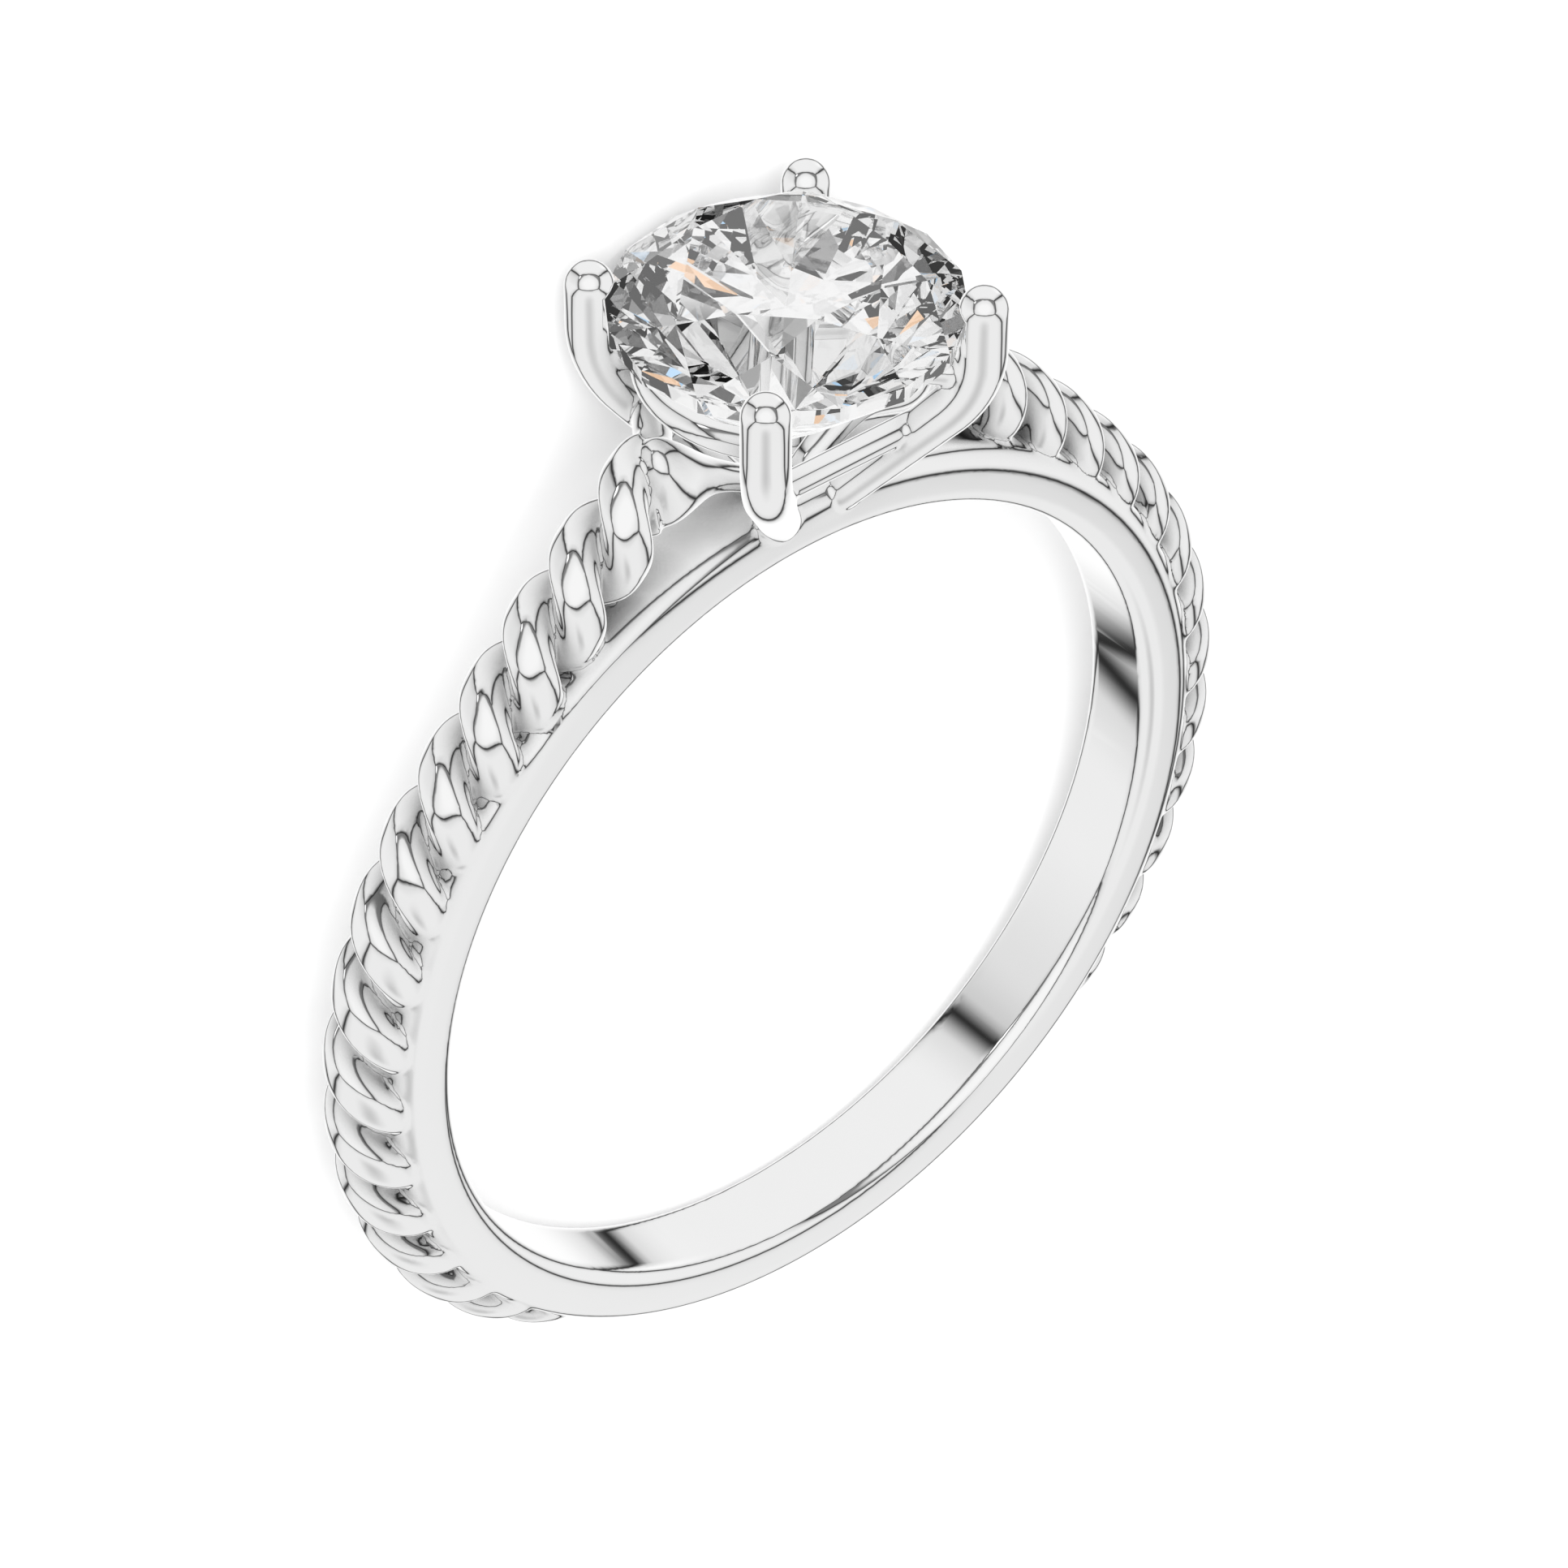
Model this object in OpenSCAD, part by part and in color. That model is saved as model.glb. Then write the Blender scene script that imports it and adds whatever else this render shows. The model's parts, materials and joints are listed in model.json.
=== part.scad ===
/* [Finger hole] */
// Diameter of the finger hole
finger_d = 17; // [15.5:0.1:19]

/* [Shank] */
// Width of the band along the finger
shank_w = 1.9; // [1.8:0.05:2.2]
// Thickness of the plain band at its bottom
shank_t = 1.16; // [1.1:0.02:1.3]
// Rounding of the two edges of the finger hole
inner_round = 0.29; // [0.1:0.01:0.4]
// Rounding of the two outer edges of the band
outer_round = 0.36; // [0.2:0.01:0.45]

/* [Rope shoulders] */
// Overall width of the ring across both shoulders
shoulder_w = 21.2; // [21:0.05:21.4]
// Diameter over both strands of the rope
rope_d = 1.76; // [1.6:0.02:1.8]
// Length of one full turn of the twist
rope_pitch = 3; // [2.6:0.1:3.6]
// Height that the rope's centre line stands above the band's outer face
rope_seat = 0.08; // [0:0.02:0.16]
// How far the rope lifts off that seat at the very top of the ring
rope_rise = 3.3; // [3:0.1:3.6]
// Angle from the top of the ring where the lift begins
rise_from = 52; // [48:1:56]
// Angle from the top of the ring where the rope starts to sink into the band
sink_from = 88; // [84:1:96]
// Angle from the top of the ring where the rope is gone
rope_to = 146; // [140:1:152]
// Angle from the top of the ring where the rope meets the head
rope_head = 12; // [11:0.5:14]
// Twist at the quarter turn of the left shoulder
left_phase = 85; // [0:5:180]
// Twist at the quarter turn of the right shoulder
right_phase = 45; // [0:5:180]

/* [Head] */
// Diameter of the prong wire
prong_d = 0.92; // [0.84:0.02:0.96]
// Distance of each prong tip from the stone's axis
prong_reach = 3.5; // [3.44:0.02:3.6]
// Height of the prong tips' centres above the finger's axis
prong_tip_z = 13.59; // [13.5:0.05:13.8]
// Diameter of the gallery rails
rail_d = 0.54; // [0.48:0.02:0.56]
// Height of the two straight rails above the finger's axis
side_rail_z = 10.9; // [10.8:0.05:11]
// Height of the two curved rails above the finger's axis
shoulder_rail_z = 12; // [11.9:0.05:12.05]

/* [Stone] */
// Diameter of the stone at its girdle
stone_d = 6.5; // [6.3:0.05:6.6]
// Height of the girdle's lower edge above the finger's axis
girdle_z = 13.2; // [13.1:0.05:13.3]
// Thickness of the girdle
girdle_t = 0.3; // [0.2:0.02:0.34]
// Width of the table over its corners, as a share of the stone's diameter
table_share = 0.575; // [0.54:0.005:0.62]
// Angle of the main crown facets
crown_angle = 34; // [32:0.5:36]
// Angle of the main pavilion facets
pavilion_angle = 40.75; // [40:0.25:41.5]

/* [Hidden] */
$fn = 96;

bore_r = finger_d / 2;
shank_r = bore_r + shank_t;
half_w = shank_w / 2;
rope_r = rope_d / 2;
prong_r = prong_d / 2;
stone_r = stone_d / 2;
table_r = stone_r * table_share;
table_z = girdle_z + girdle_t + (stone_r - table_r) * tan(crown_angle);
rail_r = rail_d / 2;
shoulder_rho = 2.3;

// Prong wire: a straight tip, one bend and a straight leg that leans in to the foot
bend_r = 2;
bend_deg = 44;
knee_z = 12.75;
bend_rho = prong_reach - bend_r + bend_r * cos(bend_deg);
bend_z = knee_z - bend_r * sin(bend_deg);
foot_z = shank_r - 0.3;
foot_rho = bend_rho - (bend_z - foot_z) * tan(bend_deg);
prong_sides = 20;

// Ring of points around the wire: its centre's place, its lean and its radius
function wire_ring(rho, z, deg, r) =
    [for (j = [0:prong_sides - 1])
        let (q = 360 * j / prong_sides)
        [rho + r * cos(q) * cos(deg), r * sin(q), z - r * cos(q) * sin(deg)]];
function foot_ring(a) =
    let (back = prong_r * sin(a))
    wire_ring(foot_rho - back * sin(bend_deg), foot_z - back * cos(bend_deg), bend_deg, prong_r * cos(a));
function bend_ring(a) =
    wire_ring(prong_reach - bend_r + bend_r * cos(a), knee_z - bend_r * sin(a), a, prong_r);
function tip_ring(a) =
    wire_ring(prong_reach, prong_tip_z + prong_r * sin(a), 0, prong_r * cos(a));

// Rope centre line, by angle from the top: it lifts off the band upwards and sinks into it downwards
function lift(phi) = phi < rise_from ? rope_rise * pow(1 - phi / rise_from, 2) : 0;
function fade(phi) = phi > sink_from ? (phi - sink_from) / (rope_to - sink_from) : 0;
function line_r(phi) = shank_r + rope_seat + lift(phi) - 0.62 * pow(fade(phi), 1.5);
function line_at(phi) = line_r(phi) * [sin(phi), 0, cos(phi)];
function line_away(phi) =
    let (dir = line_at(phi + 0.5) - line_at(phi - 0.5))
    [-dir[2], 0, dir[0]] / norm(dir);

// The rope is drawn in at its buried lower end and rounded over where it meets the head
head_round = 4;
function end_share(phi) =
    phi < rope_head + head_round ? sqrt(1 - pow(1 - (phi - rope_head + 0.25) / (head_round + 0.25), 2))
    : 1 - 0.52 * pow(fade(phi), 2);

// Steps along the rope and the length of the centre line up to each
rope_steps = 104;
function step_phi(i) = rope_head + (rope_to - rope_head) * i / rope_steps;
function step_len(i) = norm(line_at(step_phi(i + 1)) - line_at(step_phi(i)));
function lengths(i = 0, sum = 0, out = []) =
    i > rope_steps ? out : lengths(i + 1, sum + step_len(i), concat(out, [sum]));
rope_len = lengths();
quarter_len = lookup(90, [for (i = [0:rope_steps]) [step_phi(i), rope_len[i]]]);

// Section across the rope: two strands side by side, their groove filled to a core
rope_sides = 12;
core_r = 0.36;
strand_lean = atan(PI * rope_r / rope_pitch);
function section_r(q) =
    max(core_r, rope_r * abs(cos(q)) / (pow(cos(q), 2) + pow(cos(strand_lean) * sin(q), 2)));

function rope_ring(i, phase) =
    let (
        phi = step_phi(i),
        away = line_away(phi),
        turn = phase - 360 / rope_pitch * (rope_len[i] - quarter_len)
    )
    [for (j = [0:rope_sides - 1])
        let (q = 360 * j / rope_sides, a = q + turn)
        line_at(phi) + end_share(phi) * section_r(q) * (cos(a) * away + sin(a) * [0, 1, 0])];

// Closed skin over rings of points
module skin(rings) {
    n = len(rings[0]);
    m = len(rings);
    walls = [for (i = [0:m - 2], j = [0:n - 1])
        let (a = i * n + j, b = i * n + (j + 1) % n)
        each [[a, b, b + n], [a, b + n, a + n]]];
    caps = [[for (j = [n - 1:-1:0]) j], [for (j = [0:n - 1]) (m - 1) * n + j]];
    polyhedron([for (r = rings) each r], concat(walls, caps));
}

module right_rope(phase) {
    skin([for (i = [0:rope_steps]) rope_ring(i, phase)]);
}

// Disc that fills the band, with its two outer edges rounded
module band_blank() {
    rotate([90, 0, 0])
        rotate_extrude($fn = 100)
            union() {
                translate([0, -half_w])
                    square([shank_r - outer_round, shank_w]);
                translate([0, -half_w + outer_round])
                    square([shank_r, shank_w - 2 * outer_round]);
                for (side = [-1, 1])
                    translate([shank_r - outer_round, side * (half_w - outer_round)])
                        circle(outer_round, $fn = 16);
            }
}

// Finger hole with the round edges that it leaves on the band
module finger_hole() {
    cylinder(shank_w + 2, bore_r, bore_r, center = true);
    for (side = [0, 1])
        mirror([0, 0, side])
            rotate_extrude()
                difference() {
                    translate([bore_r - 0.5, half_w - inner_round])
                        square([0.5 + inner_round, inner_round + 1]);
                    translate([bore_r + inner_round, half_w - inner_round])
                        circle(inner_round);
                }
}

// One prong in the plane of x and z, at its place beside the stone's axis
module prong() {
    skin([
        for (a = [80:-20:0]) tip_ring(a),
        for (a = [0:11:bend_deg]) bend_ring(a),
        for (a = [0, 28, 56, 84]) foot_ring(a)
    ]);
    translate([shoulder_rho, 0, shoulder_rail_z])
        rotate([0, 90, 0])
            cylinder(prong_reach - shoulder_rho, rail_r, rail_r);
}

// Two straight rails low on the open sides and two curved ones high on the shoulder sides
module gallery() {
    side_y = 1.54;
    side_x = 1.8;
    for (side = [-1, 1])
        translate([-side_x, side * side_y, side_rail_z])
            rotate([0, 90, 0])
                cylinder(2 * side_x, rail_r, rail_r);
    for (side = [0, 180])
        rotate(side - 45)
            translate([0, 0, shoulder_rail_z])
                rotate_extrude(angle = 90, $fn = 48)
                    translate([shoulder_rho, 0])
                        circle(rail_r, $fn = 12);
}

// Corners of the brilliant cut, set off outwards by a clearance
function brilliant(gap) =
    let (
        r = stone_r + gap,
        low = girdle_z - gap / 2,
        high = girdle_z + girdle_t + gap / 2,
        top_r = table_r + gap / 2,
        top_z = high + (r - top_r) * tan(crown_angle),
        star_r = (r + top_r * cos(22.5)) / 2,
        star_z = top_z - (star_r * cos(22.5) - top_r) * tan(crown_angle),
        culet_z = low - r * tan(pavilion_angle),
        half_r = 0.25 * r,
        half_z = culet_z + half_r * cos(22.5) * tan(pavilion_angle)
    )
    [
        for (k = [0:7]) [top_r * cos(45 * k + 22.5), top_r * sin(45 * k + 22.5), top_z],
        for (k = [0:7]) [star_r * cos(45 * k), star_r * sin(45 * k), star_z],
        for (k = [0:15]) [r * cos(22.5 * k), r * sin(22.5 * k), high],
        for (k = [0:15]) [r * cos(22.5 * k), r * sin(22.5 * k), low],
        for (k = [0:7]) [half_r * cos(45 * k), half_r * sin(45 * k), half_z],
        [0, 0, culet_z]
    ];

module cut_stone(gap = 0) {
    points = brilliant(gap);
    hull()
        polyhedron(points, [[for (i = [0:len(points) - 1]) i]]);
}

// The ring lies on its side: the stone's girdle and the far edge of the band touch the ground
low_edge = shank_r - outer_round;
rise_y = girdle_z + low_edge;
drop_y = stone_r - half_w + outer_round;
lean = atan(drop_y / rise_y) - asin(outer_round / norm([rise_y, drop_y]));
ground = low_edge * sin(lean) + (half_w - outer_round) * cos(lean) + outer_round;
back_y = table_z * cos(lean) + table_r * sin(67.5) * sin(lean);
front_y = low_edge * cos(lean) + (half_w - outer_round) * sin(lean) + outer_round;

module lying() {
    translate([0, (front_y - back_y) / 2, ground])
        rotate([lean - 90, 0, 0])
            children();
}

module ring_metal() {
    color("gainsboro")
        lying()
            difference() {
                resize([shoulder_w, 0, 0])
                    difference() {
                        union() {
                            band_blank();
                            right_rope(right_phase);
                            mirror([1, 0, 0])
                                right_rope(left_phase);
                            for (k = [0:3])
                                rotate(90 * k + 45)
                                    prong($fn = 12);
                            gallery($fn = 16);
                        }
                        cut_stone(0.03);
                    }
                rotate([90, 0, 0])
                    finger_hole();
            }
}

module round_stone() {
    color("aliceblue")
        lying()
            cut_stone();
}

ring_metal();
round_stone();
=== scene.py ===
import json
import math

import bmesh
import bpy
from mathutils import Matrix, Vector


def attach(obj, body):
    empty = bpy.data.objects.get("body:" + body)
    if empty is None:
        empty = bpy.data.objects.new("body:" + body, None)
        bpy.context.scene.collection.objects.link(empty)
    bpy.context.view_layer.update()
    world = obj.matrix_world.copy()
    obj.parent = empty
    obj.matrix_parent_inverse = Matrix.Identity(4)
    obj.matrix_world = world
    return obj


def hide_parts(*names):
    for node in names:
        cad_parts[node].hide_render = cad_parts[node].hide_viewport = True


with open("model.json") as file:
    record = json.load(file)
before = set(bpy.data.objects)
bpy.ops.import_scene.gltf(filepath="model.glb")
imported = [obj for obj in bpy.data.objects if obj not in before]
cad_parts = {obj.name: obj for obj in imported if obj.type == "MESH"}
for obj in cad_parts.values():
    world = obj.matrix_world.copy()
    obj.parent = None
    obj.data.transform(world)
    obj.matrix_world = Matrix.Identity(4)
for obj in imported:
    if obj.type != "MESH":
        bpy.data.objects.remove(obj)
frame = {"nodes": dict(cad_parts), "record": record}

bl_info = {
    "name": "Solitaire Ring with Rope Shoulders",
    "version": (1, 0, 0),
    "blender": (4, 5, 0),
    "location": "3D View > Sidebar > Rope Ring",
    "description": "Shapes and finishes a white gold solitaire ring with twisted rope shoulders",
    "category": "Add Mesh",
}

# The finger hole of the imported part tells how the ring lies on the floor
HOLE = frame["record"]["mounts"][0]
HOLE_CENTRE = Vector(HOLE["pos_m"])
LEAN = math.atan2(-HOLE["axis"][1], HOLE["axis"][2])

# The metal is shaped upright, at one unit to the millimetre, and laid down when it is done
BENCH = 1000.0
LAID = Matrix.Translation(HOLE_CENTRE) @ Matrix.Rotation(LEAN - math.pi / 2, 4, "X")

# The plane that cuts the right rope off beside the head, on the bench
ROPE_CUT_PLACE = (3.07, 0, 10.93)
ROPE_CUT_FACING = (-0.843, -0.511, 0.164)

# The point of the upright ring that the camera looks at
AIM = Vector((-0.0002019, -0.0002555, 0.0025479))

# Keeps a division in the light tent from meeting nought
NEAR_NOUGHT = 0.0001


def length(name, description, default):
    return bpy.props.FloatProperty(
        name=name, description=description, default=default, unit="LENGTH", precision=5, min=0.0
    )


def angle(name, description, degrees):
    return bpy.props.FloatProperty(
        name=name, description=description, default=math.radians(degrees), subtype="ANGLE"
    )


def colour(name, description, default):
    return bpy.props.FloatVectorProperty(
        name=name,
        description=description,
        default=default,
        size=3,
        subtype="COLOR",
        min=0.0,
        max=1.0,
    )


def factor(name, description, default):
    return bpy.props.FloatProperty(
        name=name, description=description, default=default, subtype="FACTOR", min=0.0, max=1.0
    )


def number(name, description, default):
    return bpy.props.FloatProperty(name=name, description=description, default=default)


class ShankSizes(bpy.types.PropertyGroup):
    hole: length("Finger hole", "Diameter of the finger hole", 2 * HOLE["dims"]["r_mm"] / BENCH)
    width: length("Width", "Width of the band along the finger", 0.0019)
    thickness: length("Thickness", "Thickness of the plain band", 0.00116)
    inner_round: length("Inner rounding", "Rounding of the hole's two edges", 0.00029)
    outer_round: length("Outer rounding", "Rounding of the band's two outer edges", 0.0004)


class RopeSizes(bpy.types.PropertyGroup):
    diameter: length("Diameter", "Diameter over both strands", 0.00176)
    pitch: length("Pitch", "Length of one full turn of the twist", 0.003)
    seat: length("Seat", "Height of the rope's line above the band's outer face", 0.00008)
    rise: length("Rise", "How far the rope lifts off the band at the top", 0.0033)
    rise_from: angle("Rise from", "Angle from the top where the lift begins", 52)
    sink_from: angle("Sink from", "Angle from the top where the rope starts to sink in", 88)
    sink: length("Sink", "How far the rope's line sinks at its lower end", 0.00042)
    start: angle("Start", "Angle from the top where the rope meets the head", 9)
    end: angle("End", "Angle from the top where the rope is gone", 150)
    left_turn: angle("Left twist", "Twist at the quarter turn of the left shoulder", 85)
    right_turn: angle("Right twist", "Twist at the quarter turn of the right shoulder", 45)
    core: length("Core", "Radius that the groove between the strands is filled to", 0.00036)


class HeadSizes(bpy.types.PropertyGroup):
    wire: length("Prong wire", "Diameter of the prong wire", 0.00092)
    reach: length("Reach", "Distance of each prong tip from the stone's axis", 0.0035)
    tip: length("Tip height", "Height of the prong tips above the finger's axis", 0.01359)
    knee: length("Knee height", "Height where the prongs begin to bend in", 0.01275)
    bend: length("Bend", "Radius of the prongs' bend", 0.002)
    bend_turn: angle("Bend angle", "How far the prongs lean in below the bend", 44)
    foot: length("Foot height", "Height of the prongs' feet above the finger's axis", 0.0094)
    foot_taper: factor("Foot taper", "Thickness of the feet as a share of the wire", 0.82)
    rail: length("Rail wire", "Diameter of the gallery rails", 0.00054)
    side_rail: length("Side rail height", "Height of the two straight rails", 0.0109)
    side_place: length("Side rail place", "Distance of the straight rails from the axis", 0.00154)
    side_half: length("Side rail half", "Half the length of the straight rails", 0.0018)
    shoulder_wire: length("Shoulder rail wire", "Diameter of the two curved rails", 0.00062)
    shoulder_rail: length("Shoulder rail height", "Height of the two curved rails", 0.0122)
    shoulder_place: length("Shoulder rail radius", "Radius of the curved rails", 0.00248)


class MetalFinish(bpy.types.PropertyGroup):
    grain: length("Grain", "Fineness of the cast metal's surface", 0.00006)
    clearance: length("Seat clearance", "Gap between the stone and its notches", 0.00003)
    most_triangles: bpy.props.IntProperty(
        name="Most triangles", description="Triangles that the casting keeps", default=190000
    )
    tint: colour("Metal", "Colour of the polished white gold", (0.95, 0.95, 0.95))
    gloss: factor("Roughness", "Roughness of the polish", 0.03)
    # Painted shade: the metal's colour is darkened in its crevices and between its parts, this far
    # round them
    crevice: length("Crevice", "How far round it a crevice is darkened", 0.001)
    crevice_shade_tone: factor("Crevice tone", "How much light is left in the deepest crevice", 0.03)


class StoneFinish(bpy.types.PropertyGroup):
    tint: colour("Stone", "Colour of the stone", (1.0, 1.0, 1.0))
    index: number("Refraction", "How strongly the stone bends light", 2.417)


class StageSettings(bpy.types.PropertyGroup):
    floor: colour("Floor", "Colour of the floor", (0.93, 0.93, 0.93))
    sky: number("Light tent", "Strength of the light tent round the ring", 1.0)
    gap: number("Seam", "Brightness of the seams between the tent's walls", 0.03)
    half_width: number("Tent width", "Half the tent's width, for a near wall at 1", 1.2)
    ceiling: number("Tent ceiling", "Height of the tent's ceiling", 1.0)
    floor_depth: number("Tent floor", "Depth of the tent's floor", 0.66)
    far_depth: number("Tent depth", "Distance of the tent's far wall", 1.16)
    floor_light: number("Floor light", "Strength of the soft light on the floor", 4.0)
    light_lean: angle("Light lean", "How far the floor light leans from straight above", 52)
    light_turn: angle("Light turn", "Where round the ring the floor light stands", 122)
    azimuth: angle("View azimuth", "Camera's turn round the upright ring", -39.40)
    elevation: angle("View elevation", "Camera's height above the upright ring", 40.69)
    roll: angle("View roll", "Camera's roll", 0.31)
    distance: length("View distance", "Distance from the camera to the ring", 0.11903)
    lens: number("Lens", "Focal length for a 36 millimetre sensor", 145.9)


class RingSettings(bpy.types.PropertyGroup):
    shank: bpy.props.PointerProperty(type=ShankSizes)
    rope: bpy.props.PointerProperty(type=RopeSizes)
    head: bpy.props.PointerProperty(type=HeadSizes)
    metal: bpy.props.PointerProperty(type=MetalFinish)
    stone: bpy.props.PointerProperty(type=StoneFinish)
    stage: bpy.props.PointerProperty(type=StageSettings)


def bench(value):
    """A real length, in metres, at the size in which the metal is shaped."""
    return value * BENCH


def take(piece, *others):
    """Selects a piece, and others with it, and nothing else."""
    if bpy.context.object is not None and bpy.context.object.mode != "OBJECT":
        bpy.ops.object.mode_set(mode="OBJECT")
    bpy.ops.object.select_all(action="DESELECT")
    for other in (*others, piece):
        other.select_set(True)
    bpy.context.view_layer.objects.active = piece


def drop_all():
    bpy.ops.object.select_all(action="DESELECT")


def added(name):
    piece = bpy.context.object
    piece.name = name
    piece.data.name = name
    return piece


def settle(piece):
    """Puts a piece's place, turn and size into its mesh."""
    take(piece)
    bpy.ops.object.transform_apply(location=True, rotation=True, scale=True)
    return piece


def open_edit(piece, kind="VERT"):
    take(piece)
    bpy.ops.object.mode_set(mode="EDIT")
    bpy.ops.mesh.select_mode(type=kind)
    bpy.ops.mesh.select_all(action="SELECT")


def close_edit():
    bpy.ops.object.mode_set(mode="OBJECT")


def pick(piece, test):
    """In edit mode, selects the vertices whose place passes the test."""
    mesh = bmesh.from_edit_mesh(piece.data)
    for v in mesh.verts:
        v.select = bool(test(v.co))
    mesh.select_flush_mode()
    bmesh.update_edit_mesh(piece.data)


def face_out():
    bpy.ops.mesh.select_all(action="SELECT")
    bpy.ops.mesh.remove_doubles(threshold=0.0005)
    bpy.ops.mesh.normals_make_consistent(inside=False)


def close_ends():
    """In edit mode, fills every open end and turns all faces outwards."""
    bpy.ops.mesh.select_all(action="SELECT")
    bpy.ops.mesh.fill_holes(sides=0)
    face_out()


def use(piece, kind, **settings):
    """Adds a modifier with these settings and applies it."""
    take(piece)
    bpy.ops.object.modifier_add(type=kind)
    modifier = piece.modifiers[-1]
    for name, value in settings.items():
        setattr(modifier, name, value)
    bpy.ops.object.modifier_apply(modifier=modifier.name)
    return piece


def join(name, *pieces):
    take(pieces[0], *pieces[1:])
    bpy.ops.object.join()
    return added(name)


def copied(piece, name):
    take(piece)
    bpy.ops.object.duplicate(linked=False)
    return added(name)


def for_side(piece, side):
    """Mirrors a piece made for the right shoulder to the left one, and turns its faces outwards."""
    if side < 0:
        piece.scale = (-1, 1, 1)
        settle(piece)
    open_edit(piece)
    face_out()
    close_edit()
    return piece


def cornered(pieces):
    """Turns four pieces to the four corners round the stone's axis."""
    for k, piece in enumerate(pieces):
        piece.rotation_euler = (0, 0, math.radians(45 + 90 * k))
        settle(piece)
    return pieces


def wire_circle(name, radius, place, turn, sides=32):
    """An open circle of wire, ready to be drawn out."""
    drop_all()
    bpy.ops.mesh.primitive_circle_add(vertices=sides, radius=radius, location=place, rotation=turn)
    return settle(added(name))


def rod(name, radius, place, reach):
    """A straight wire from a place along X."""
    wire = wire_circle(name, radius, place, (0, math.pi / 2, 0), 24)
    open_edit(wire)
    bpy.ops.mesh.extrude_region_move(TRANSFORM_OT_translate={"value": (reach, 0, 0)})
    close_ends()
    close_edit()
    return wire


def ball(name, radius, place):
    drop_all()
    bpy.ops.mesh.primitive_uv_sphere_add(segments=32, ring_count=20, radius=radius, location=place)
    return settle(added(name))


# Shank
def shape_shank(sizes):
    inner = bench(sizes.hole) / 2
    outer = inner + bench(sizes.thickness)
    half = bench(sizes.width) / 2
    drop_all()
    bpy.ops.mesh.primitive_plane_add(size=1, location=((inner + outer) / 2, 0, 0))
    shank = added("shank_blank")
    shank.scale = (outer - inner, 2 * half, 1)
    settle(shank)
    open_edit(shank)
    pick(shank, lambda p: p.x < (inner + outer) / 2)
    bpy.ops.mesh.bevel(affect="VERTICES", offset=bench(sizes.inner_round), segments=6)
    pick(shank, lambda p: p.x > outer - 0.001)
    bpy.ops.mesh.bevel(affect="VERTICES", offset=bench(sizes.outer_round), segments=8)
    bpy.ops.mesh.select_all(action="SELECT")
    bpy.ops.mesh.delete(type="ONLY_FACE")
    bpy.ops.mesh.select_all(action="SELECT")
    bpy.ops.mesh.spin(steps=240, angle=math.tau, center=(0, 0, 0), axis=(0, 1, 0))
    face_out()
    close_edit()
    return shank


# Rope shoulders
def rope_line(sizes, outer):
    """The rope's centre line beside the right shoulder, as places, and its thickness there."""
    count = 268
    thinned_by = 0.36
    rounded = math.radians(4)
    blunt = 0.0044
    places = []
    for i in range(count + 1):
        phi = sizes.start + (sizes.end - sizes.start) * i / count
        radius = outer + bench(sizes.seat)
        fade = max(0.0, (phi - sizes.sink_from) / (sizes.end - sizes.sink_from))
        if phi < sizes.rise_from:
            radius += bench(sizes.rise) * (1 - phi / sizes.rise_from) ** 2
        radius -= bench(sizes.sink) * fade**3
        share = 1 - thinned_by * fade**2.5
        if phi < sizes.start + rounded:
            share = math.sqrt(1 - (1 - (phi - sizes.start + blunt) / (rounded + blunt)) ** 2)
        places.append((phi, radius, share))
    return places


def rope_guide(name, sizes, outer):
    """A guide curve in its own flat plane, with the rope's thickness as its radius."""
    drop_all()
    bpy.ops.curve.primitive_bezier_curve_add(location=(0, 0, 0))
    guide = added(name)
    line = rope_line(sizes, outer)
    guide.data.splines.clear()
    guide.data.twist_mode = "Z_UP"
    strand = guide.data.splines.new("POLY")
    strand.points.add(len(line) - 1)
    lengths = [0.0]
    last = None
    for point, (phi, radius, share) in zip(strand.points, line):
        place = Vector((radius * math.sin(phi), radius * math.cos(phi), 0))
        point.co = (*place, 1)
        point.radius = share
        if last is not None:
            lengths.append(lengths[-1] + (place - last).length)
        last = place
    quarter = next(i for i, (phi, _, _) in enumerate(line) if phi >= math.pi / 2)
    return guide, lengths[-1], lengths[quarter]


def shape_rope(name, sizes, outer, quarter_turn, side):
    """Two strands and a core twisted along the guide of one shoulder."""
    guide, whole, quarter = rope_guide(name + "_guide", sizes, outer)
    strand = bench(sizes.diameter) / 4
    pitch = bench(sizes.pitch)
    slope = math.cos(math.atan(math.tau * strand / pitch))
    lobes = []
    for sign in (1, -1):
        lobe = wire_circle(name + "_strand", strand, (0, 0, 0), (0, math.pi / 2, 0))
        lobe.scale = (1, 1, 1 / slope)
        settle(lobe)
        lobe.location = (0, sign * strand, 0)
        settle(lobe)
        lobes.append(lobe)
    core = wire_circle(name + "_core", bench(sizes.core), (0, 0, 0), (0, math.pi / 2, 0))
    rope = join(name, *lobes, core)
    rope.rotation_euler = (-quarter_turn - math.tau * quarter / pitch, 0, 0)
    settle(rope)
    steps = 40 * math.ceil(whole / pitch)
    use(
        rope,
        "SCREW",
        axis="X",
        angle=math.tau * whole / pitch,
        screw_offset=whole,
        steps=steps,
        render_steps=steps,
        use_merge_vertices=False,
    )
    open_edit(rope)
    close_ends()
    close_edit()
    use(rope, "CURVE", object=guide, deform_axis="POS_X")
    rope.rotation_euler = (math.pi / 2, 0, 0)
    settle(rope)
    open_edit(rope)
    bpy.ops.mesh.bisect(
        plane_co=ROPE_CUT_PLACE, plane_no=ROPE_CUT_FACING, use_fill=True, clear_outer=True
    )
    close_edit()
    take(guide)
    bpy.ops.object.delete()
    return for_side(rope, side)


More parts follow.
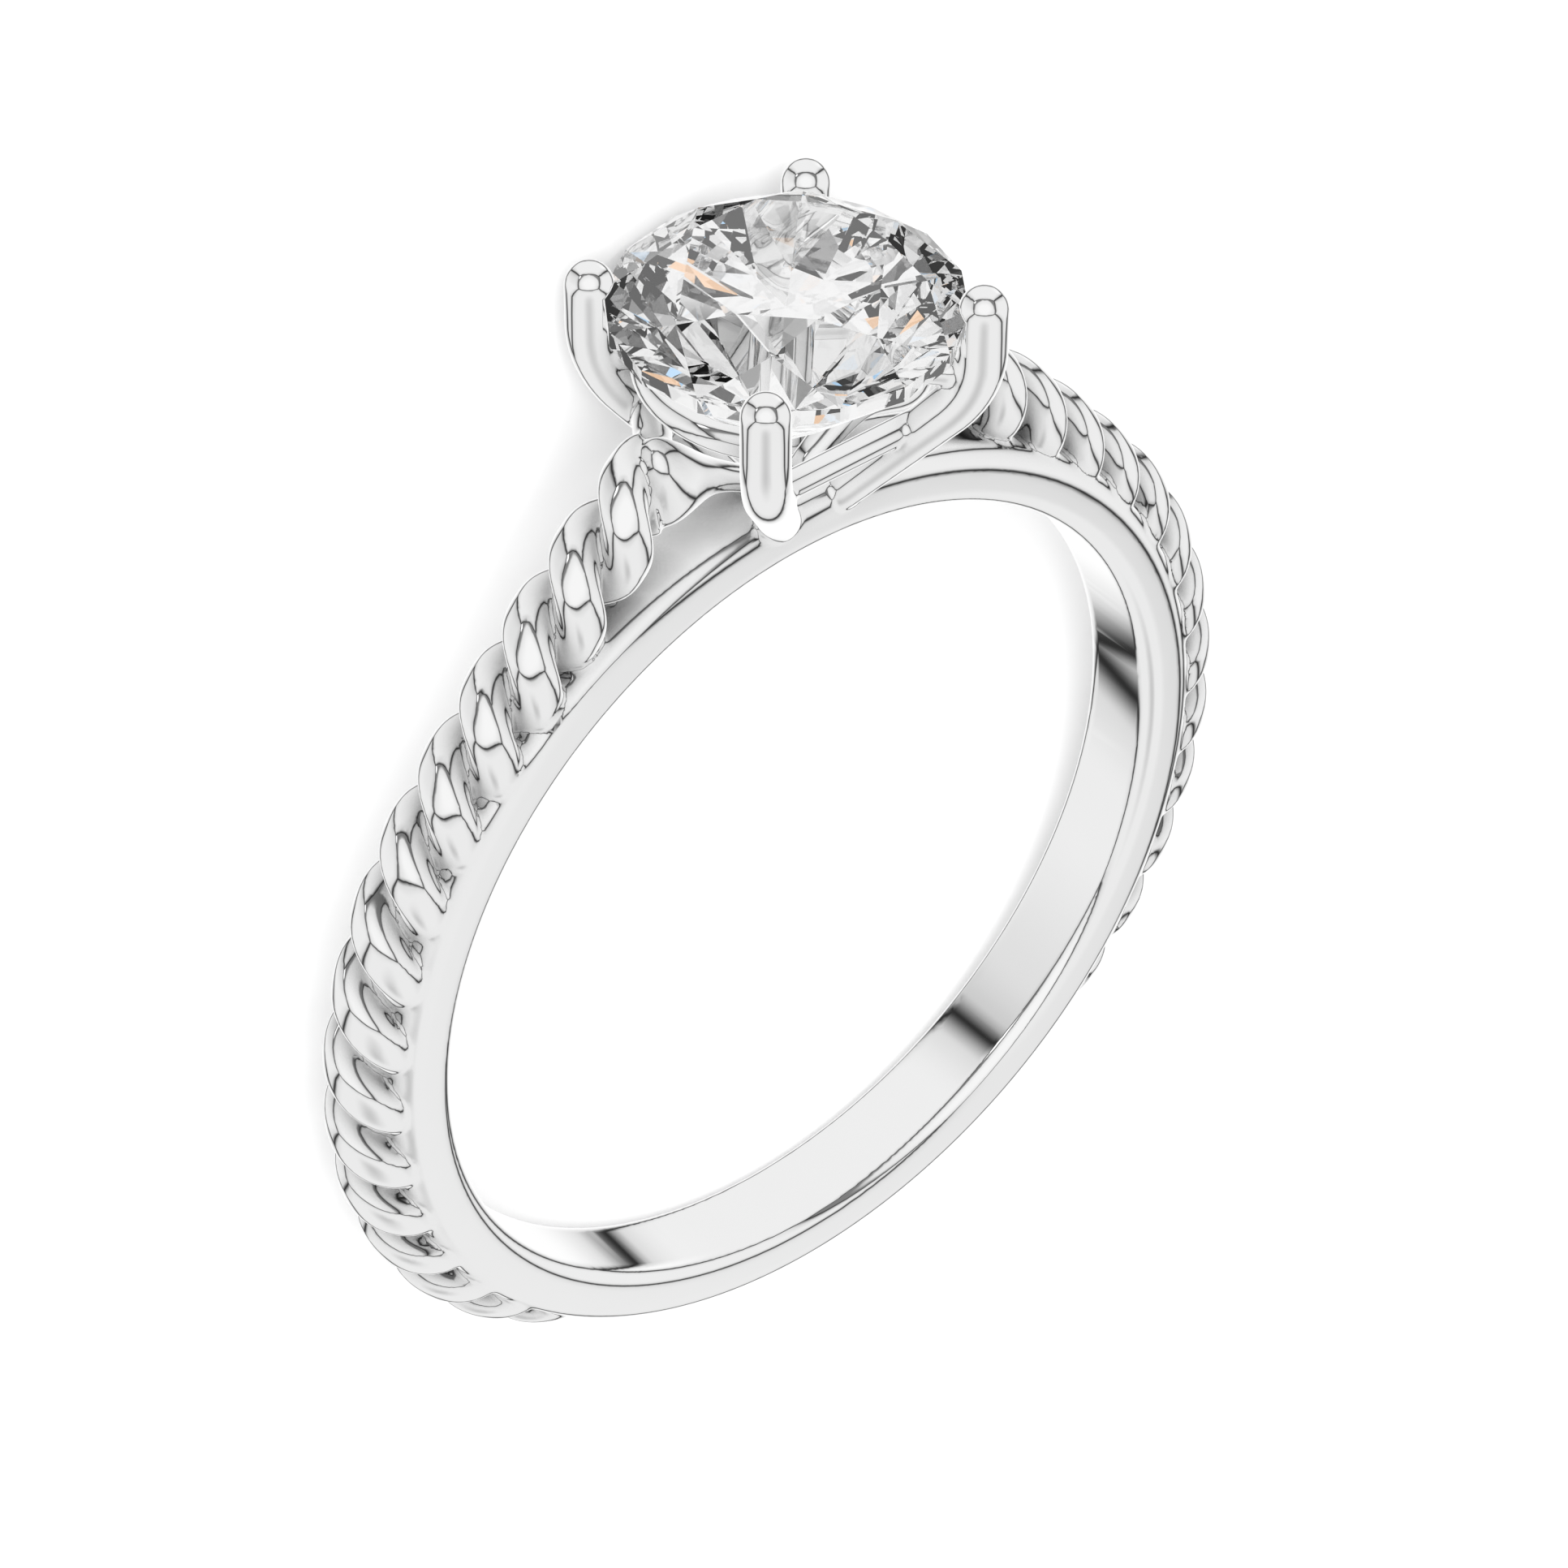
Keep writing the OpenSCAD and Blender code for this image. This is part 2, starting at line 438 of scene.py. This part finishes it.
# Head
def shape_prong(sizes):
    """One prong beside the stone's axis: a ball tip, a neck, a bend and a leg down to the band."""
    wire = bench(sizes.wire) / 2
    reach = bench(sizes.reach)
    tip = bench(sizes.tip)
    knee = bench(sizes.knee)
    bend = bench(sizes.bend)
    turn = sizes.bend_turn
    foot = bench(sizes.foot)
    taper = sizes.foot_taper
    prong = wire_circle("prong", wire, (reach, 0, tip), (0, 0, 0))
    open_edit(prong)
    bpy.ops.mesh.extrude_region_move(TRANSFORM_OT_translate={"value": (0, 0, knee - tip)})
    bpy.ops.mesh.spin(steps=16, angle=turn, center=(reach - bend, 0, knee), axis=(0, -1, 0))
    along = Vector((math.sin(turn), 0, math.cos(turn)))
    pivot = Vector((reach - bend, 0, knee))
    pick(prong, lambda p: abs((p - pivot).dot(along)) < 0.001 and p.x > pivot.x)
    bend_end = knee - bend * math.sin(turn)
    leg = (bend_end - foot) / math.cos(turn)
    bpy.ops.mesh.extrude_region_move(
        TRANSFORM_OT_translate={"value": (-leg * math.sin(turn), 0, -leg * math.cos(turn))}
    )
    foot_place = (reach - bend + bend * math.cos(turn) - leg * math.sin(turn), 0, foot)
    bpy.ops.transform.resize(value=(taper, taper, taper), center_override=foot_place)
    close_ends()
    close_edit()
    tip_ball = ball("prong_tip", wire, (reach, 0, tip))
    foot_ball = ball("prong_foot", wire * taper, foot_place)
    return join("prong", prong, tip_ball, foot_ball)


def drawn_out(name, sections):
    """A smooth body along a row of sections, each a place with its radius across and upwards."""
    place, across, up = sections[0]
    body = wire_circle(name, 1.0, place, (0, math.pi / 2, 0), 12)
    open_edit(body)
    bpy.ops.transform.resize(value=(1, across, up), center_override=place)
    for (last, last_across, last_up), (place, across, up) in zip(sections, sections[1:]):
        shift = tuple(b - a for a, b in zip(last, place))
        growth = (1, across / last_across, up / last_up)
        bpy.ops.mesh.extrude_region_move(TRANSFORM_OT_translate={"value": shift})
        bpy.ops.transform.resize(value=growth, center_override=place)
    close_ends()
    close_edit()
    return use(body, "SUBSURF", levels=3, render_levels=3)


def shape_shoulder_end(side):
    """The end of a rope shoulder: a leaf that narrows under the stone and a web to one prong."""
    # Each section: its place, its radius across and its radius upwards
    leaf = drawn_out(
        "leaf",
        [
            ((3.30, 0.00, 10.90), 0.26, 0.40),
            ((3.15, 0.00, 10.88), 0.52, 0.86),
            ((2.85, 0.05, 10.82), 0.64, 1.02),
            ((2.50, 0.10, 10.72), 0.66, 0.86),
            ((2.15, 0.15, 10.62), 0.60, 0.64),
            ((1.80, 0.15, 10.48), 0.48, 0.42),
            ((1.35, 0.10, 10.22), 0.38, 0.30),
            ((0.60, 0.00, 9.80), 0.32, 0.28),
            ((0.20, 0.00, 9.55), 0.30, 0.28),
        ],
    )
    web = drawn_out(
        "web",
        [
            ((1.55, 1.72, 10.70), 0.34, 0.34),
            ((1.72, 1.62, 10.88), 0.56, 0.50),
            ((2.05, 1.25, 11.00), 0.60, 0.52),
            ((2.40, 0.85, 11.06), 0.60, 0.52),
            ((2.72, 0.45, 11.06), 0.50, 0.46),
            ((3.00, 0.10, 11.00), 0.26, 0.26),
        ],
    )
    return for_side(join("shoulder_end", leaf, web), side)


def shape_head(sizes):
    prong = shape_prong(sizes)
    prongs = cornered([prong] + [copied(prong, "prong_copy") for _ in range(3)])
    rail = bench(sizes.rail) / 2
    half = bench(sizes.side_half)
    around = bench(sizes.shoulder_place)
    curved_place = (around, 0, bench(sizes.shoulder_rail))
    rails = []
    for side in (1, -1):
        place = (-half, side * bench(sizes.side_place), bench(sizes.side_rail))
        rails.append(rod("side_rail", rail, place, 2 * half))
        thick = bench(sizes.shoulder_wire) / 2
        curved = wire_circle("shoulder_rail", thick, curved_place, (math.pi / 2, 0, 0), 24)
        curved.rotation_euler = (0, 0, math.radians(-45 if side > 0 else 135))
        settle(curved)
        open_edit(curved)
        bpy.ops.mesh.spin(steps=32, angle=math.pi / 2, center=(0, 0, 0), axis=(0, 0, -1))
        close_ends()
        close_edit()
        rails.append(curved)
    lug_reach = bench(sizes.reach) - around
    lugs = cornered([rod("rail_lug", rail, curved_place, lug_reach) for _ in range(4)])
    ends = [shape_shoulder_end(side) for side in (1, -1)]
    return join("head_blank", *prongs, *rails, *lugs, *ends)


# Cast metal
def stone_cutter(clearance):
    """The stone, grown by the clearance, upright and at bench size."""
    cutter = copied(frame["nodes"]["round_stone"], "stone_seat")
    cutter.parent = None
    cutter.matrix_world = Matrix.Scale(BENCH, 4) @ LAID.inverted()
    settle(cutter)
    open_edit(cutter)
    bpy.ops.mesh.remove_doubles(threshold=0.001)
    bpy.ops.mesh.normals_make_consistent(inside=False)
    bpy.ops.transform.shrink_fatten(value=clearance)
    close_edit()
    return cutter


def cast(parts, finish):
    """Fuses the blanks into one casting, softens its joins and cuts the stone's seat."""
    metal = join("ring_casting", *parts)
    metal.data.materials.clear()
    use(metal, "REMESH", mode="VOXEL", voxel_size=bench(finish.grain), adaptivity=0.0)
    use(metal, "SMOOTH", factor=0.5, iterations=5)
    cutter = stone_cutter(bench(finish.clearance))
    use(metal, "BOOLEAN", operation="DIFFERENCE", solver="MANIFOLD", object=cutter)
    take(cutter)
    bpy.ops.object.delete()
    take(metal)
    bpy.ops.object.shade_smooth_by_angle(angle=math.radians(50))
    return thinned(metal, finish.most_triangles)


def thinned(metal, most):
    """Takes out triangles where the metal is even, and keeps the shading of the fine surface."""
    metal.data.calc_loop_triangles()
    share = most / len(metal.data.loop_triangles)
    if share >= 1:
        return metal
    fine = copied(metal, "fine_surface")
    use(metal, "DECIMATE", ratio=share)
    use(
        metal,
        "DATA_TRANSFER",
        object=fine,
        use_loop_data=True,
        data_types_loops={"CUSTOM_NORMAL"},
        loop_mapping="POLYINTERP_NEAREST",
    )
    take(fine)
    bpy.ops.object.delete()
    return metal


def lay_down(piece):
    """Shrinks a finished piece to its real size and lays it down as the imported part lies."""
    piece.matrix_world = LAID @ Matrix.Scale(1 / BENCH, 4)
    settle(piece)
    return piece


# Materials
def finish_metal(piece, material):
    """Gives the whole piece one material, whatever its blanks and cutters had."""
    piece.data.materials.clear()
    piece.data.materials.append(material)
    piece.data.polygons.foreach_set("material_index", [0] * len(piece.data.polygons))


def new_material(name):
    material = bpy.data.materials.new(name)
    material.use_nodes = True
    return material, material.node_tree.nodes["Principled BSDF"]


def faint_cloud(tree, tint, fineness, share):
    """A cloud on the piece, and the tint as the cloud takes it down to a share of itself."""
    place = tree.nodes.new("ShaderNodeTexCoord")
    cloud = tree.nodes.new("ShaderNodeTexNoise")
    cloud.inputs["Scale"].default_value = fineness
    tree.links.new(place.outputs["Object"], cloud.inputs["Vector"])
    tone = tree.nodes.new("ShaderNodeMix")
    tone.data_type = "RGBA"
    tone.inputs["A"].default_value = (*(share * c for c in tint), 1)
    tone.inputs["B"].default_value = (*tint, 1)
    tree.links.new(cloud.outputs["Fac"], tone.inputs["Factor"])
    return cloud, tone


def white_gold(finish):
    """Polished white gold with a faint, even unrest in its polish, and crevices darkened by painted
    shade.
    """
    material, shader = new_material("polished_white_gold")
    nodes, links = material.node_tree.nodes, material.node_tree.links
    shader.inputs["Metallic"].default_value = 1.0
    cloud, tone = faint_cloud(material.node_tree, finish.tint, 900.0, 0.985)
    cloud.inputs["Detail"].default_value = 3.0
    # Painted shade: ambient occlusion darkens the base colour in crevices and between parts, down
    # to the darkest tone given
    crevice = nodes.new("ShaderNodeAmbientOcclusion")
    crevice.only_local = True
    crevice.samples = 3
    crevice.inputs["Distance"].default_value = finish.crevice
    unshaded_share = nodes.new("ShaderNodeMapRange")
    unshaded_share.inputs["From Min"].default_value = 0.12
    unshaded_share.inputs["From Max"].default_value = 0.9
    unshaded_share.inputs["To Min"].default_value = finish.crevice_shade_tone
    unshaded_share.interpolation_type = "SMOOTHSTEP"
    links.new(crevice.outputs["AO"], unshaded_share.inputs["Value"])
    shade = nodes.new("ShaderNodeVectorMath")
    shade.operation = "SCALE"
    links.new(tone.outputs["Result"], shade.inputs["Vector"])
    links.new(unshaded_share.outputs["Result"], shade.inputs["Scale"])
    links.new(shade.outputs["Vector"], shader.inputs["Base Color"])
    polish = nodes.new("ShaderNodeMapRange")
    polish.inputs["To Min"].default_value = finish.gloss * 0.8
    polish.inputs["To Max"].default_value = finish.gloss * 1.2
    links.new(cloud.outputs["Fac"], polish.inputs["Value"])
    links.new(polish.outputs["Result"], shader.inputs["Roughness"])
    return material


def clear_stone(finish):
    """Clear cut stone with a faint cloud in its tone."""
    material, shader = new_material("clear_cut_stone")
    nodes, links = material.node_tree.nodes, material.node_tree.links
    shader.inputs["Transmission Weight"].default_value = 1.0
    shader.inputs["Roughness"].default_value = 0.0
    shader.inputs["IOR"].default_value = finish.index
    _, tone = faint_cloud(material.node_tree, finish.tint, 400.0, 0.99)
    links.new(tone.outputs["Result"], shader.inputs["Base Color"])
    # The polished metal beside the stone mirrors the tent alone
    path = nodes.new("ShaderNodeLightPath")
    outside = nodes.new("ShaderNodeMath")
    outside.operation = "LESS_THAN"
    outside.inputs[1].default_value = 0.5
    links.new(path.outputs["Transmission Depth"], outside.inputs[0])
    mirrored = nodes.new("ShaderNodeMath")
    mirrored.operation = "MULTIPLY"
    links.new(path.outputs["Is Glossy Ray"], mirrored.inputs[0])
    links.new(outside.outputs["Value"], mirrored.inputs[1])
    unseen = nodes.new("ShaderNodeBsdfTransparent")
    choice = nodes.new("ShaderNodeMixShader")
    links.new(mirrored.outputs["Value"], choice.inputs["Fac"])
    links.new(shader.outputs["BSDF"], choice.inputs[1])
    links.new(unseen.outputs["BSDF"], choice.inputs[2])
    links.new(choice.outputs["Shader"], nodes["Material Output"].inputs["Surface"])
    return material


# Stage
class Level:
    """A brightness or a place carried by the light tent's nodes. Sums on it lay out more nodes."""

    def __init__(self, tree, socket):
        self.tree = tree
        self.socket = socket

    def work(self, kind, first, second=None):
        node = self.tree.nodes.new("ShaderNodeMath")
        node.operation = kind
        for socket, value in zip(node.inputs, (first, second)):
            if isinstance(value, Level):
                self.tree.links.new(value.socket, socket)
            elif value is not None:
                socket.default_value = value
        return Level(self.tree, node.outputs["Value"])

    def __add__(self, other):
        return self.work("ADD", self, other)

    def __sub__(self, other):
        return self.work("SUBTRACT", self, other)

    def __mul__(self, other):
        return self.work("MULTIPLY", self, other)

    def __truediv__(self, other):
        return self.work("DIVIDE", self, other)

    def most(self, other):
        return self.work("MAXIMUM", self, other)

    def blend(self, share, other):
        """This level where the share is 0 and the other where it is 1."""
        return self + (self - other) * share * -1.0

    def rise(self, start, end):
        """A soft step from 0 at start to 1 at end, which may also run downwards."""
        node = self.tree.nodes.new("ShaderNodeMapRange")
        node.interpolation_type = "SMOOTHSTEP"
        node.inputs["From Min"].default_value = min(start, end)
        node.inputs["From Max"].default_value = max(start, end)
        node.inputs["To Min"].default_value = 0.0 if start < end else 1.0
        node.inputs["To Max"].default_value = 1.0 if start < end else 0.0
        self.tree.links.new(self.socket, node.inputs["Value"])
        return Level(self.tree, node.outputs["Result"])


def away_from(across, upward, place, size):
    """How far a place lies from the middle of a spot, as a share of the spot's half sizes."""
    du = (across - place[0]) / size[0]
    dv = (upward - place[1]) / size[1]
    total = du * du + dv * dv
    return total.work("SQRT", total)


def tent_axes(tree, turn):
    """The direction looked up, as places to the right of, above and behind the camera."""
    direction = tree.nodes.new("ShaderNodeTexCoord").outputs["Generated"]
    levels = []
    for i in range(3):
        node = tree.nodes.new("ShaderNodeVectorMath")
        node.operation = "DOT_PRODUCT"
        node.inputs[1].default_value = turn.col[i][:3]
        tree.links.new(direction, node.inputs[0])
        levels.append(Level(tree, node.outputs["Value"]))
    return levels


def small_flags(tree, fineness):
    """Three even, unlike levels for each small patch of the surround."""
    place = tree.nodes.new("ShaderNodeTexCoord")
    cells = tree.nodes.new("ShaderNodeTexVoronoi")
    cells.inputs["Scale"].default_value = fineness
    tree.links.new(place.outputs["Generated"], cells.inputs["Vector"])
    parts = tree.nodes.new("ShaderNodeSeparateColor")
    tree.links.new(cells.outputs["Color"], parts.inputs["Color"])
    return [Level(tree, output) for output in parts.outputs]


def stone_flags(tree, x, y, z):
    """What the stone gathers: a white surround with small grey, dark and tinted flags."""
    white, pale = 0.94, 0.58
    to_pale, to_grey, to_dark = (0.58, 0.60), (0.72, 0.73), (0.82, 0.83)
    first, second, third = small_flags(tree, 3.2)
    middle = second * 0.25 + 0.10
    dark = second * 0.02
    grey = first.rise(*to_pale) * (pale - white) + white
    grey = grey.blend(first.rise(*to_grey), middle)
    grey = grey.blend(first.rise(*to_dark), dark)
    # One dark flag in front of the stone
    behind = (z * -4.0).most(0.0)
    flag = away_from(x, y, (0.05, -0.02), (0.30, 0.26)) + behind
    grey = grey.blend(flag.rise(1.02, 0.98), third * 0.03)
    # Few and small tinted flags, warm or cold
    warm_tint, cold_tint = (1.05, 0.68, 0.42), (0.50, 0.80, 1.12)
    chance, hue, _ = small_flags(tree, 13.0)
    tinted = chance.rise(0.96, 0.965)
    joined = tree.nodes.new("ShaderNodeCombineColor")
    for socket, warm, cold in zip(joined.inputs, warm_tint, cold_tint):
        tint = hue.rise(0.45, 0.55) * (cold - warm) + warm
        tree.links.new(grey.blend(tinted, tint).socket, socket)
    return joined.outputs["Color"]


def near_wall(x, y, z):
    """The wall behind the camera: a dark frame, an arched window with a level foot and a lamp."""
    frame_tone, lamp_tone = 0.22, 1.3
    glass_tone, glass_dip = 0.98, 0.16
    middle, arch_half, lower_half = (0.0, -0.05), (1.02, 0.88), (1.06, 2.2)
    edge, waist, foot = (1.08, 0.84), (-0.07, -0.03), (-0.65, -0.48)
    lamp_place, lamp_half = (-1.08, 0.78), (0.20, 0.20)
    across = x / z.most(NEAR_NOUGHT)
    upward = y / z.most(NEAR_NOUGHT)
    arch = away_from(across, upward, middle, arch_half)
    lower = away_from(across, upward, middle, lower_half)
    halves = lower.rise(*edge).blend(upward.rise(*waist), arch.rise(*edge))
    window = halves * upward.rise(*foot)
    glass = arch.rise(0.3, 1.0) * -glass_dip + glass_tone
    wall = window * (glass - frame_tone) + frame_tone
    lamp = away_from(across, upward, lamp_place, lamp_half).rise(1.2, 0.7)
    return wall.blend(lamp, lamp_tone)


def tent_level(settings, x, y, z):
    """How bright the tent is: a white box with thin dark seams and broad soft shades."""
    # Each wall's reach: the wall with the greatest value is the one that is seen
    walls = {
        "left": x / -settings.half_width,
        "right": x / settings.half_width,
        "top": (y + z * 0.04) / settings.ceiling,
        "below": (z * 0.06 - y) / settings.floor_depth,
        "near": z,
        "far": z / -settings.far_depth,
    }
    inside = {}
    for name, wall in walls.items():
        rest = None
        for other, reach in walls.items():
            if other != name:
                rest = reach if rest is None else rest.most(reach)
        inside[name] = (wall - rest) / wall.most(NEAR_NOUGHT)
    near = near_wall(x, y, z) - settings.gap
    level = inside["near"].rise(0.0, 0.05) * near + settings.gap
    # Seam width, width of the soft edge, brightness beside the seam and in the middle
    tones = {
        "left": (0.18, 0.50, 0.70, 0.90),
        "right": (0.22, 0.50, 0.70, 0.90),
        "top": (0.19, 0.45, 0.68, 0.91),
        "below": (0.18, 0.45, 0.70, 0.88),
        "far": (0.34, 0.70, 0.64, 1.04),
    }
    for name, (seam, soft, edge, middle) in tones.items():
        level += inside[name].rise(0.0, seam) * (edge - settings.gap)
        level += inside[name].rise(0.0, soft) * (middle - edge)
    # The shade's form, the width of its wall's soft edge and what it adds
    overhead = x / y.most(NEAR_NOUGHT)
    shades = {
        "below": (away_from(x, z, (0.0, 0.1), (0.45, 0.6)).rise(1.0, 0.0), 0.2, -0.27),
        "left": ((z * 0.5 + y).rise(-0.1, 0.6), 0.2, -0.12),
        "top": (away_from(overhead, z, (0.8, -0.45), (0.6, 0.4)).rise(1.0, 0.0), 0.3, 0.14),
    }
    for name, (form, soft, added_light) in shades.items():
        level += form * inside[name].rise(0.0, soft) * added_light
    return level


def light_tent(settings, turn):
    """A light tent laid out for one camera, with other surroundings for what leaves the stone."""
    world = bpy.data.worlds.new("light_tent")
    world.use_nodes = True
    bpy.context.scene.world = world
    tree = world.node_tree
    x, y, z = tent_axes(tree, turn)
    path = tree.nodes.new("ShaderNodeLightPath")
    seen = tree.nodes.new("ShaderNodeMix")
    seen.data_type = "RGBA"
    tree.links.new(path.outputs["Is Transmission Ray"], seen.inputs["Factor"])
    tree.links.new(tent_level(settings, x, y, z).socket, seen.inputs["A"])
    tree.links.new(stone_flags(tree, x, y, z), seen.inputs["B"])
    background = tree.nodes["Background"]
    tree.links.new(seen.outputs["Result"], background.inputs["Color"])
    background.inputs["Strength"].default_value = settings.sky
    world.cycles.sampling_method = "NONE"


def floor_light(settings):
    """A broad soft light from above that the polished metal doesn't mirror."""
    drop_all()
    bpy.ops.object.light_add(type="SUN", location=(0, 0, 0.3))
    light = bpy.context.object
    light.name = "floor_light"
    light.data.energy = settings.floor_light
    light.data.angle = math.radians(90)
    light.rotation_euler = (0, settings.light_lean, settings.light_turn)
    light.visible_glossy = False
    light.visible_transmission = False


def set_floor(settings):
    drop_all()
    bpy.ops.mesh.primitive_plane_add(size=2.0, location=(0, 0, -0.00002))
    floor = settle(added("studio_floor"))
    material, shader = new_material("pale_floor")
    shader.inputs["Base Color"].default_value = (*settings.floor, 1)
    shader.inputs["Roughness"].default_value = 0.9
    floor.data.materials.append(material)
    floor.visible_glossy = False
    floor.visible_transmission = False


def set_camera(settings):
    """The camera stands to the upright ring as in the photograph, and is laid down with it."""
    a = settings.azimuth
    e = settings.elevation
    away = Vector((math.sin(a) * math.cos(e), -math.cos(a) * math.cos(e), math.sin(e)))
    right = (-away).cross(Vector((0, 0, 1))).normalized()
    up = right.cross(-away)
    c, s = math.cos(settings.roll), math.sin(settings.roll)
    right, up = c * right + s * up, -s * right + c * up
    turn = Matrix((right, up, away)).transposed().to_4x4()
    drop_all()
    bpy.ops.object.camera_add()
    camera = bpy.context.object
    camera.name = "ring_camera"
    camera.matrix_world = LAID @ Matrix.Translation(AIM + settings.distance * away) @ turn
    camera.data.sensor_width = 36.0
    camera.data.lens = settings.lens
    camera.data.clip_start = 0.005
    camera.data.clip_end = 20.0
    bpy.context.scene.camera = camera
    return camera


class ShapeShank(bpy.types.Operator):
    """Spins the plain band round the finger hole"""

    bl_idname = "rope_ring.shape_shank"
    bl_label = "Shape Shank"

    def execute(self, context):
        shape_shank(context.scene.rope_ring.shank)
        return {"FINISHED"}


class ShapeRopes(bpy.types.Operator):
    """Twists the two rope shoulders and lays them round the band"""

    bl_idname = "rope_ring.shape_ropes"
    bl_label = "Shape Ropes"

    def execute(self, context):
        ring = context.scene.rope_ring
        outer = bench(ring.shank.hole / 2 + ring.shank.thickness)
        shape_rope("right_rope", ring.rope, outer, ring.rope.right_turn, 1)
        shape_rope("left_rope", ring.rope, outer, ring.rope.left_turn, -1)
        return {"FINISHED"}


class ShapeHead(bpy.types.Operator):
    """Bends the four prongs and the gallery rails under the stone"""

    bl_idname = "rope_ring.shape_head"
    bl_label = "Shape Head"

    def execute(self, context):
        shape_head(context.scene.rope_ring.head)
        return {"FINISHED"}


class CastMetal(bpy.types.Operator):
    """Fuses shank, ropes and head into one casting, cuts the stone's seat and polishes it"""

    bl_idname = "rope_ring.cast_metal"
    bl_label = "Cast Metal"

    def execute(self, context):
        ring = context.scene.rope_ring
        names = ("shank_blank", "right_rope", "left_rope", "head_blank")
        parts = [bpy.data.objects[name] for name in names]
        metal = lay_down(cast(parts, ring.metal))
        finish_metal(metal, white_gold(ring.metal))
        metal.visible_glossy = False
        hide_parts("ring_metal")
        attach(metal, "root")
        return {"FINISHED"}


class FinishStone(bpy.types.Operator):
    """Gives the cut stone its clear material"""

    bl_idname = "rope_ring.finish_stone"
    bl_label = "Finish Stone"

    def execute(self, context):
        stone = frame["nodes"]["round_stone"]
        stone.data.materials.clear()
        stone.data.materials.append(clear_stone(context.scene.rope_ring.stone))
        return {"FINISHED"}


class SetStage(bpy.types.Operator):
    """Lays the floor, sets the light tent and places the camera"""

    bl_idname = "rope_ring.set_stage"
    bl_label = "Set Stage"

    def execute(self, context):
        settings = context.scene.rope_ring.stage
        set_floor(settings)
        camera = set_camera(settings)
        light_tent(settings, camera.matrix_world)
        floor_light(settings)
        context.scene.view_settings.view_transform = "Standard"
        context.scene.cycles.max_bounces = 15
        context.scene.cycles.transmission_bounces = 15
        context.scene.cycles.glossy_bounces = 10
        context.scene.cycles.diffuse_bounces = 2
        return {"FINISHED"}


class RopeRingPanel(bpy.types.Panel):
    bl_label = "Rope Ring"
    bl_idname = "VIEW3D_PT_rope_ring"
    bl_space_type = "VIEW_3D"
    bl_region_type = "UI"
    bl_category = "Rope Ring"

    def draw(self, context):
        for operator in OPERATORS:
            self.layout.operator(operator.bl_idname)


OPERATORS = (ShapeShank, ShapeRopes, ShapeHead, CastMetal, FinishStone, SetStage)
GROUPS = (ShankSizes, RopeSizes, HeadSizes, MetalFinish, StoneFinish, StageSettings, RingSettings)
CLASSES = (*GROUPS, *OPERATORS, RopeRingPanel)


def register():
    for c in CLASSES:
        bpy.utils.register_class(c)
    bpy.types.Scene.rope_ring = bpy.props.PointerProperty(type=RingSettings)


def unregister():
    del bpy.types.Scene.rope_ring
    for c in reversed(CLASSES):
        bpy.utils.unregister_class(c)


def main():
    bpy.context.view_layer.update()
    register()
    bpy.ops.rope_ring.shape_shank()
    bpy.ops.rope_ring.shape_ropes()
    bpy.ops.rope_ring.shape_head()
    bpy.ops.rope_ring.cast_metal()
    bpy.ops.rope_ring.finish_stone()
    bpy.ops.rope_ring.set_stage()


if __name__ == "__main__":
    main()
